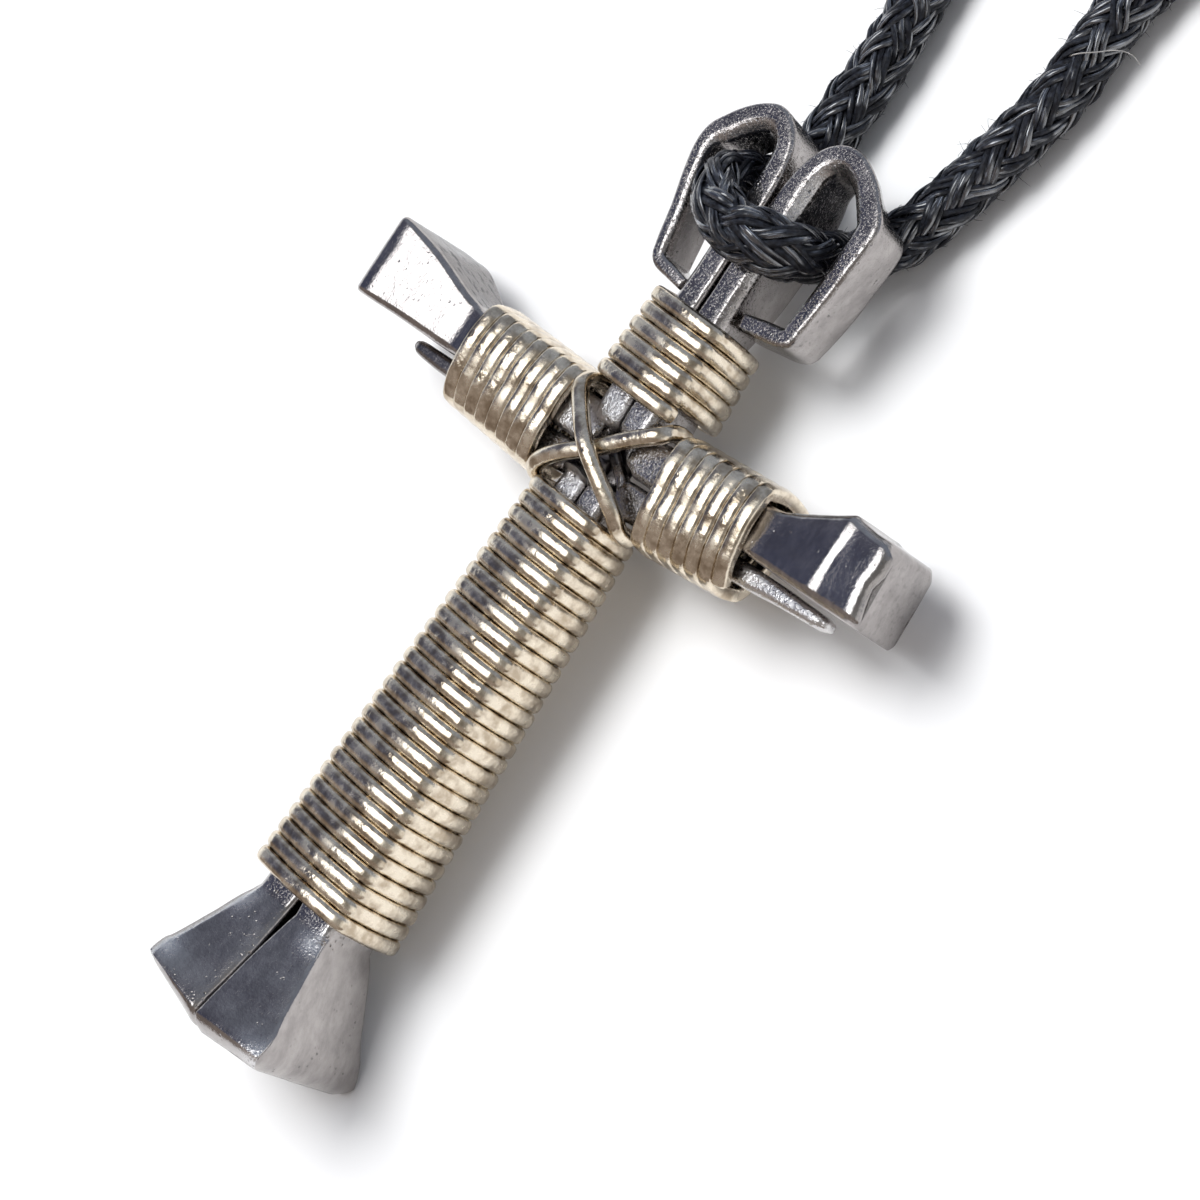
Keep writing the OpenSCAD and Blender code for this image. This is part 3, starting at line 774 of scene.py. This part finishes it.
armNail = {
    "low": 32.95,       # lower edge of a head and its shank
    "middle": 0.05,     # height of the shank's middle over the axis
    # of the shank and of the tip under it, at 2.5 mm and at 10 mm from the middle
    "top": (35.15, 35.5), "depth": (2.8, 3.1),
    "tipLow": (31.2, 31.8), "tipHigh": (32.78, 32.72), "tipDepth": (2.2, 1.8),
    # head rows: distance from the middle, upper edge, depth, bevel, how far the front's top is drawn in.
    # tip: how far out the nail's tip is, drop: how much lower, end: where the shank stops at the crossing.
    # marks: scratches and painted shade on the head's faces from a distance on, bright wear near the middle,
    # and a tipMark, grimy above 0 and bright below 0
    "left": {"front": 1, "tip": 15.2, "drop": 0.18, "end": 0.85, "endSlant": 0, "crumple": 0,
             "faceGrimeAndShade": 0.5, "faceGrimeAndShadeFrom": 10.8, "wornAndShine": 0.9, "tipMark": -0.7,
             "head": [[17.5, 36.95, 4.3, 0.18, 0.05], [17.45, 37.15, 4.7, 0.2, 0.05],
                      [17.32, 37.35, 5.05, 0.2, 0.06], [17.1, 37.45, 5.3, 0.2, 0.1],
                      [16.6, 37.46, 5.34, 0.2, 0.16], [15.8, 37.42, 5.08, 0.22, 0.3],
                      [14.6, 37.35, 4.65, 0.24, 0.5], [13.4, 36.88, 4.22, 0.26, 0.42],
                      [12.0, 36.2, 3.72, 0.26, 0.25], [11.0, 35.8, 3.36, 0.25, 0.1]]},
    "right": {"front": -1, "tip": 13.9, "drop": 0.0, "end": 1.2, "endSlant": 0.3, "crumple": 0.2,
              "faceGrimeAndShade": 0.2, "faceGrimeAndShadeFrom": 16.95, "wornAndShine": 0.2, "tipMark": 0.3,
              "head": [[17.2, 36.75, 3.74, 0.3, 0], [17.15, 36.9, 4.0, 0.34, 0], [17.04, 37.0, 4.26, 0.38, 0],
                       [16.9, 37.08, 4.46, 0.38, 0], [16.75, 37.1, 4.57, 0.36, 0],
                       [16.55, 37.1, 4.64, 0.36, 0], [16.4, 37.1, 4.66, 0.36, 0], [15.9, 37.1, 4.62, 0.36, 0],
                       [15.2, 37.15, 4.54, 0.35, 0], [14.65, 37.2, 4.5, 0.34, 0],
                       [14.5, 37.26, 4.52, 0.34, 0], [14.2, 37.26, 4.61, 0.33, 0],
                       [14.08, 37.22, 4.62, 0.33, 0], [13.8, 37.1, 4.57, 0.32, 0],
                       [13.4, 36.9, 4.42, 0.3, 0], [12.0, 36.25, 3.92, 0.28, 0],
                       [11.0, 35.82, 3.6, 0.26, 0]]},
}


def armSize(name, x):
    # one of the sizes that change along the arm, at that distance from the middle
    return between(*armNail[name], x, 2.5, 10)


def armRows(side):
    # rows: distance from the middle, y, z, width, depth, bevel, how far the front's top is drawn in
    low, middle, webZ = armNail["low"], armNail["middle"], side["front"] * 0.82
    rows = [[x, (low + top) / 2, 0.02, top - low, deep, bevel, drawn]
            for x, top, deep, bevel, drawn in side["head"]]
    for x in (10, 7, 4, 2.6, 2.0):
        top, deep = armSize("top", x), armSize("depth", x) + (0.32 if x == 10 else 0)
        rows.append([x, (low + top) / 2, middle, top - low, deep, 0.22, 0])
    stop = side["end"]      # rounded off where it goes into the crossing
    rows += [[stop + 0.5, 34.12, middle, 2.05, 2.8, 0.2, 0], [stop + 0.15, 34.12, middle, 1.8, 2.7, 0.2, 0],
             [stop, 34.1, 0, 1.4, 2.3, 0.2, 0], [stop - 0.12, 33.95, webZ * 0.75, 0.8, 0.8, 0.2, 0],
             [-1.35, 32.6, webZ, 0.7, 0.7, 0.15, 0], [-1.7, 32.2, webZ * 0.5, 1.0, 1.4, 0.2, 0]]
    for x in (2.1, 3.9, 7, 10):
        under, over = armSize("tipLow", x) - side["drop"], armSize("tipHigh", x)
        rows.append([-x, (under + over) / 2, 0, over - under, armSize("tipDepth", x), 0.2, 0])
    tip = side["tip"]
    rows += [[-(10 + (tip - 10) * 0.5), 32.3, 0.08, 0.86, 1.65, 0.19, 0],
             [-(10 + (tip - 10) * 0.85), 32.33, 0.15, 0.72, 1.45, 0.18, 0],
             [-tip + 0.25, 32.36, 0.2, 0.5, 1.0, 0.14, 0]]
    x, y, z, width, depth, bevel, drawn = evenRows(smoothRows(rows, 6), 0.1, 2).T
    return np.stack([x, y, z, width, depth, bevel, bevel, bevel, bevel, 0 * x, drawn], axis=1)


def makeArmNail(name, node, side, sign, seed):
    rows = armRows(side)
    rings = bevelledRings(rows, np.tile([-1.0, 0, 0], (len(rows), 1)))
    rings = np.concatenate([rings, roundedEnd(rings[-1], (-1, 0, 0), 0.25)])
    x, y, depth = (rings[..., i].copy() for i in range(3))
    # the end in the crossing is rounded, and the head's end may slant and be crumpled
    close = np.clip(1 - np.abs(x - side["end"] - 0.3) / 0.9, 0, 1)
    rings[..., 0] += 0.4 * (((y - 34.1) / 1.1) ** 2 - 0.3) * close
    rings[..., 0] -= side["endSlant"] * np.clip((y - 33) / 4, 0, 1) * np.clip((x - 14.5) / 1.5, 0, 1)
    crumple = side["crumple"] * np.clip(x - 13.8, 0, 1) * np.clip(depth - 1, 0, 1)
    rings[..., 0] += crumple * (0.5 * np.sin(2.3 * y + 0.4) + 0.3 * np.sin(5.9 * y))
    rings[..., 0] *= sign
    rings = roughen(rings, 2.1, 0.025, seed)
    rings = roughen(rings, 0.6, 0.009, seed + 5)
    # painted shade on the end that goes into the crossing
    crossingShade = np.clip(side["end"] + 0.35 - np.abs(x), 0, 1)
    tipMark = side["tipMark"] * np.clip(-x - 9, 0, 1)
    faces = slice(14, 19) if sign < 0 else slice(None)      # only the upper side of the left head
    # scratches and painted shade on the left head's upper side and the right head's end
    faceGrimeAndShade = np.zeros_like(x)
    faceGrimeAndShade[:, faces] = side["faceGrimeAndShade"] * np.clip((x[:, faces] - side["faceGrimeAndShadeFrom"]) / 0.3, 0, 1)
    wornAndShine = side["wornAndShine"] * np.clip(4.4 - x, 0, 1) * np.clip(x - 0.5, 0, 1) * np.clip(depth, 0, 1)
    marks = [crossingShade + tipMark + faceGrimeAndShade - wornAndShine - 0.4 * crumple]
    addMesh(name, [place(rings)], nailSteel, [node], marks=marks, sharp=50)


makeArmNail("arm_nail_left", "cross_nail_left", armNail["left"], -1, 1.3)
makeArmNail("arm_nail_right", "cross_nail_right", armNail["right"], 1, 6.2)
print("nails made")

wire = {
    "thickness": 0.84, "pitch": 0.84, "clearance": 0.05,
    "bow": 0.3, "armBow": 0.2,      # how far a turn bulges over a flat
    "wobble": 0.01,         # unevenness from turn to turn
    "shift": 0.15,          # both ends of a wrap are moved round by this part of a turn
    # the wire is pressed: its thickness outwards for a width of 1, and how square it is
    "armFlat": 0.84, "armSquare": 3.8, "uprightFlat": 0.94, "uprightSquare": 2.8, "tieFlat": 0.92,
    "sides": 16, "spacing": 0.2,
    # where each wrap starts, its turns and how many degrees its flat side leans
    "shaft": {"from": 30.2, "turns": 27},
    "top": {"from": 40.8, "turns": 5.5},
    "left": {"from": 3.55, "turns": 8, "lean": 10.5},
    "right": {"from": 4.2, "turns": 6.5, "lean": 8.0},
}
wireLook = {
    "dark": rgb(0.47, 0.385, 0.285),
    "light": rgb(0.83, 0.74, 0.6),
    "roughness": (0.12, 0.32),
    "dentSize": 0.2, "dentDepth": 0.022,
    "swellDepth": 0.012, "grainDepth": 0.003,
}


def wireMaterial():
    look = Look("champagne_wire")
    spot = look.coordinates()
    patches = look.noise(spot, 0.8, 3.0, 0.6)
    grain = look.noise(spot, 0.09, 2.0, 0.6)
    swell = look.noise(spot, 0.6, 1.0)
    dents = look.noise(spot, wireLook["dentSize"], 2.0, 0.5) * look.noise(spot, 1.1, 2.0).ramp(0.48, 0.66)
    colour = look.blend(patches.ramp(0.3, 0.62), wireLook["dark"], wireLook["light"])
    low, high = wireLook["roughness"]
    relief = look.relief((swell, wireLook["swellDepth"]), (dents, wireLook["dentDepth"]),
                         (grain, wireLook["grainDepth"]))
    return look.finish({"Base Color": colour, "Metallic": 1.0,
                        "Roughness": low + patches.ramp(0.35, 0.7) * (high - low), "Normal": relief})


champagneWire = wireMaterial()


def outline(corners, offset, bow, perFlat=7, perCorner=5):
    # the wire's line round a section: arcs at the corners, slightly bowed runs between them
    corners = np.array(corners, float)
    count = len(corners)
    area = sum(np.cross(corners[i - 1], corners[i]) for i in range(count))
    turn = 1 if area > 0 else -1
    normals = []
    for i in range(count):
        edge = unit(corners[(i + 1) % count] - corners[i])
        normals.append(turn * np.array([edge[1], -edge[0]]))
    line = []
    for i in range(count):
        before, after = normals[i - 1], normals[i]
        swing = math.acos(max(-1, min(1, before.dot(after))))
        for j in range(perCorner):
            t = j / (perCorner - 1)
            m = before * math.sin((1 - t) * swing) + after * math.sin(t * swing) if swing > 1e-4 else after
            line.append(corners[i] + offset * unit(m))
        start, stop = corners[i] + offset * after, corners[(i + 1) % count] + offset * after
        size = np.linalg.norm(stop - start)
        for j in range(1, perFlat + 1):
            t = j / (perFlat + 1)
            line.append(start + (stop - start) * t + after * bow * min(1, size / 3) * math.sin(math.pi * t))
    return np.array(line)


def wind(start, finish, s0, s1, turns, seed, bow):
    # the wire's path [u, v, s] round a section that changes from start to finish
    offset = wire["thickness"] / 2 + wire["clearance"]
    rings = [outline(c, offset, bow) for c in (start, finish)]
    closed = np.vstack([(rings[0] + rings[1]) / 2, (rings[0][:1] + rings[1][:1]) / 2])
    share = arcLength(closed)
    share = share[:-1] / share[-1]
    count = len(share)
    made = []
    dice = random.Random(seed)
    slips = [dice.uniform(-1, 1) for _ in range(int(turns) + 5)]
    for i in range(int(-wire["shift"] * count), int((turns - wire["shift"]) * count) + 1):
        turn, j = divmod(i, count)
        t = (turn + share[j]) / turns
        point = rings[0][j] * (1 - t) + rings[1][j] * t
        s = s0 + (s1 - s0) * t
        slip = slips[turn] * (1 - share[j]) + slips[turn + 1] * share[j]
        made.append([point[0], point[1], s + slip * wire["wobble"]])
    return np.array(made)


def wireRings(path, axis, flat, squareness, lean=0.0):
    # the pressed wire along a path. Its width keeps to the axis, and lean turns it by some degrees
    path = evenRows(path, wire["spacing"])
    ways, axis = headings(path), np.array(axis, float)
    normals = unit(axis - ways * (ways @ axis)[:, None])
    partners = np.cross(ways, normals)
    c, s = math.cos(math.radians(lean)), math.sin(math.radians(lean))
    normals, partners = normals * c - partners * s, partners * c + normals * s
    radius = wire["thickness"] / 2
    rings = ovals(path, normals, partners, radius, radius * flat, wire["sides"], squareness)
    return np.concatenate([roundedEnd(rings[0], -ways[0], radius * 0.5)[::-1], rings,
                           roundedEnd(rings[-1], ways[-1], radius * 0.5)])


def uprightSection(y):
    wide, deep = shankHalf(y)
    return [[-wide, deep], [wide, deep], [wide, -deep], [-wide, -deep]]


def makeUprightWrap(name, seed):
    high, turns = wire[name]["from"], wire[name]["turns"]
    low = high - wire["pitch"] * turns
    path = wind(uprightSection(high), uprightSection(low), high, low, turns, seed, wire["bow"])
    rings = wireRings(path[:, [0, 2, 1]], (0, 1, 0), wire["uprightFlat"], wire["uprightSquare"])
    addMesh(f"wire_{name}", [place(rings)], champagneWire, [f"{name}_wrap"])


def armSection(x, drop):
    top, half, tipHalf = armSize("top", x), armSize("depth", x) / 2, armSize("tipDepth", x) / 2
    low, tipLow, middle = armNail["low"] + 0.3, armSize("tipLow", x) - drop, armNail["middle"]
    return [[top, middle + half], [low, middle + half], [tipLow, tipHalf],
            [tipLow, -tipHalf], [low, middle - half], [top, middle - half]]


def makeArmWrap(name, other, sign, seed):
    # other is the nail whose tip comes out under this wrap
    inner, turns, drop = wire[name]["from"], wire[name]["turns"], armNail[other]["drop"]
    outer = inner + wire["pitch"] * turns
    path = wind(armSection(inner, drop), armSection(outer, drop), inner, outer, turns, seed, wire["armBow"])
    path = path[:, [2, 0, 1]]
    path[:, 0] *= sign
    rings = wireRings(path, (1, 0, 0), wire["armFlat"], wire["armSquare"], wire[name]["lean"])
    addMesh(f"wire_{name}", [place(rings)], champagneWire, [f"{name}_wrap"])


makeUprightWrap("shaft", 1)
makeUprightWrap("top", 2)
makeArmWrap("left", "right", -1, 3)
makeArmWrap("right", "left", 1, 4)

ties = {    # the direction across, the lean of the flat side in degrees, then the points
    "over": ((0.67, 0.74, 0), 7,
             [[-2.6, 35.75, 0.4], [-2.75, 35.75, 1.5], [-2.7, 35.3, 2.15], [-1.8, 34.5, 2.6],
              [-0.05, 33.1, 3], [1.6, 31.95, 2.6], [2.8, 31.1, 2], [3.15, 30.5, 1.2], [3.2, 30.45, 0.2]]),
    "under": ((-0.67, 0.74, 0), -10,
              [[-3, 30.6, 0.2], [-3, 30.65, 1.2], [-2.65, 31.15, 1.75], [-1.6, 32, 2.15],
               [-0.05, 33.1, 2.12], [1.6, 34.45, 2.15], [2.75, 35.3, 2.1], [2.9, 35.75, 1.4],
               [2.9, 35.75, 0.4]]),
}
for tie, (across, lean, points) in ties.items():
    rings = wireRings(smoothRows(points, 10), across, wire["tieFlat"], wire["uprightSquare"], lean)
    addMesh(f"wire_cross_{tie}", [place(rings)], champagneWire, [f"tie_{tie}"])
print("wire wound")

studio = {
    "floor": rgb(0.86, 0.86, 0.86),
    "keyFrom": (-0.36, 0.21, 0.91), "keyPower": 3.3, "keySize": 0.37,
    "keyAway": 0.6,     # metres from the pendant
    "left": rgb(1.15, 1.22, 1.3),       # the room on the -X side, near the floor
    "wall": rgb(0.11, 0.125, 0.2),      # dark, above it
    "wallUp": rgb(0.14, 0.15, 0.21),    # the same towards the heart
    "card": rgb(4.5, 4.6, 4.7),         # white card nearly overhead
    "ceiling": rgb(0.3, 0.295, 0.29),   # dim beyond the card
    "right": rgb(1.02, 1.02, 1.02),     # the room on the +X side
    "foot": rgb(0.33, 0.285, 0.26),     # well towards the foot, brownish
    "heart": rgb(0.31, 0.35, 0.43),     # well towards the heart, bluish
    "leftEdge": (-74, -68), "cardEdge": (-28, -20), "cardEnd": (-3, 6), "rightEdge": (44, 66),    # degrees
    "cardFoot": (0.18, 0.42), "cardHeart": (0.08, 0.27), "roomReach": (0.2, 0.5),   # sines off the middle
}


def makeFloor():
    half = 2.0      # metres
    corners = [(-half, -half, 0), (half, -half, 0), (half, half, 0), (-half, half, 0)]
    mesh = bpy.data.meshes.new("floor")
    mesh.from_pydata(corners, [], [(0, 1, 2, 3)])
    finish = {"Base Color": studio["floor"], "Roughness": 0.9, "Specular IOR Level": 0.1}
    mesh.materials.append(Look("pale_floor").finish(finish))
    floor = addObject("floor", mesh)
    floor.location = (0, 0, -0.00005)       # just clear of the cord


def makeKey():
    data = bpy.data.lights.new("key", "AREA")
    data.shape = "DISK"
    data.size = studio["keySize"]
    data.energy = studio["keyPower"]
    lamp = addObject("key", data)
    way = Vector(studio["keyFrom"]).normalized()
    lamp.location = way * studio["keyAway"]
    lamp.rotation_euler = way.to_track_quat("Z", "Y").to_euler()
    lamp.visible_camera = False
    lamp.visible_glossy = False     # the card takes its place in reflections


def makeRoom():
    # what the steel and the wire reflect, by angle from straight above towards +X
    world = bpy.data.worlds.new("room")
    bpy.context.scene.world = world
    world.use_nodes = True
    look = Look("room", world.node_tree)
    x, y, up = look.parts(look.coordinates("Generated"))
    angle = x.math("ARCTAN2", up) * (180 / math.pi)
    wall = look.blend(y.ramp(-0.1, 0.1), studio["wall"], studio["wallUp"])
    side = look.blend(y.ramp(-0.05, 0.05), studio["foot"], studio["heart"])
    off = y.math("ABSOLUTE")
    colour = look.blend(angle.ramp(*studio["leftEdge"]), studio["left"], wall)
    ends = (0 - y).ramp(*studio["cardFoot"]) + y.ramp(*studio["cardHeart"])
    card = look.blend(ends, studio["card"], studio["ceiling"])
    colour = look.blend(angle.ramp(*studio["cardEdge"]), colour, card)
    colour = look.blend(angle.ramp(*studio["cardEnd"]), colour, studio["ceiling"])
    colour = look.blend(angle.ramp(*studio["rightEdge"]), colour, studio["right"])
    colour = look.blend(off.ramp(*studio["roomReach"]), colour, side)
    surface = look.add("ShaderNodeBackground", {}, {"Color": colour, "Strength": 1.0})
    look.add("ShaderNodeOutputWorld", {}, {"Surface": surface})


makeFloor()
makeKey()
makeRoom()
bpy.context.scene.view_settings.view_transform = "Standard"
print("studio made")
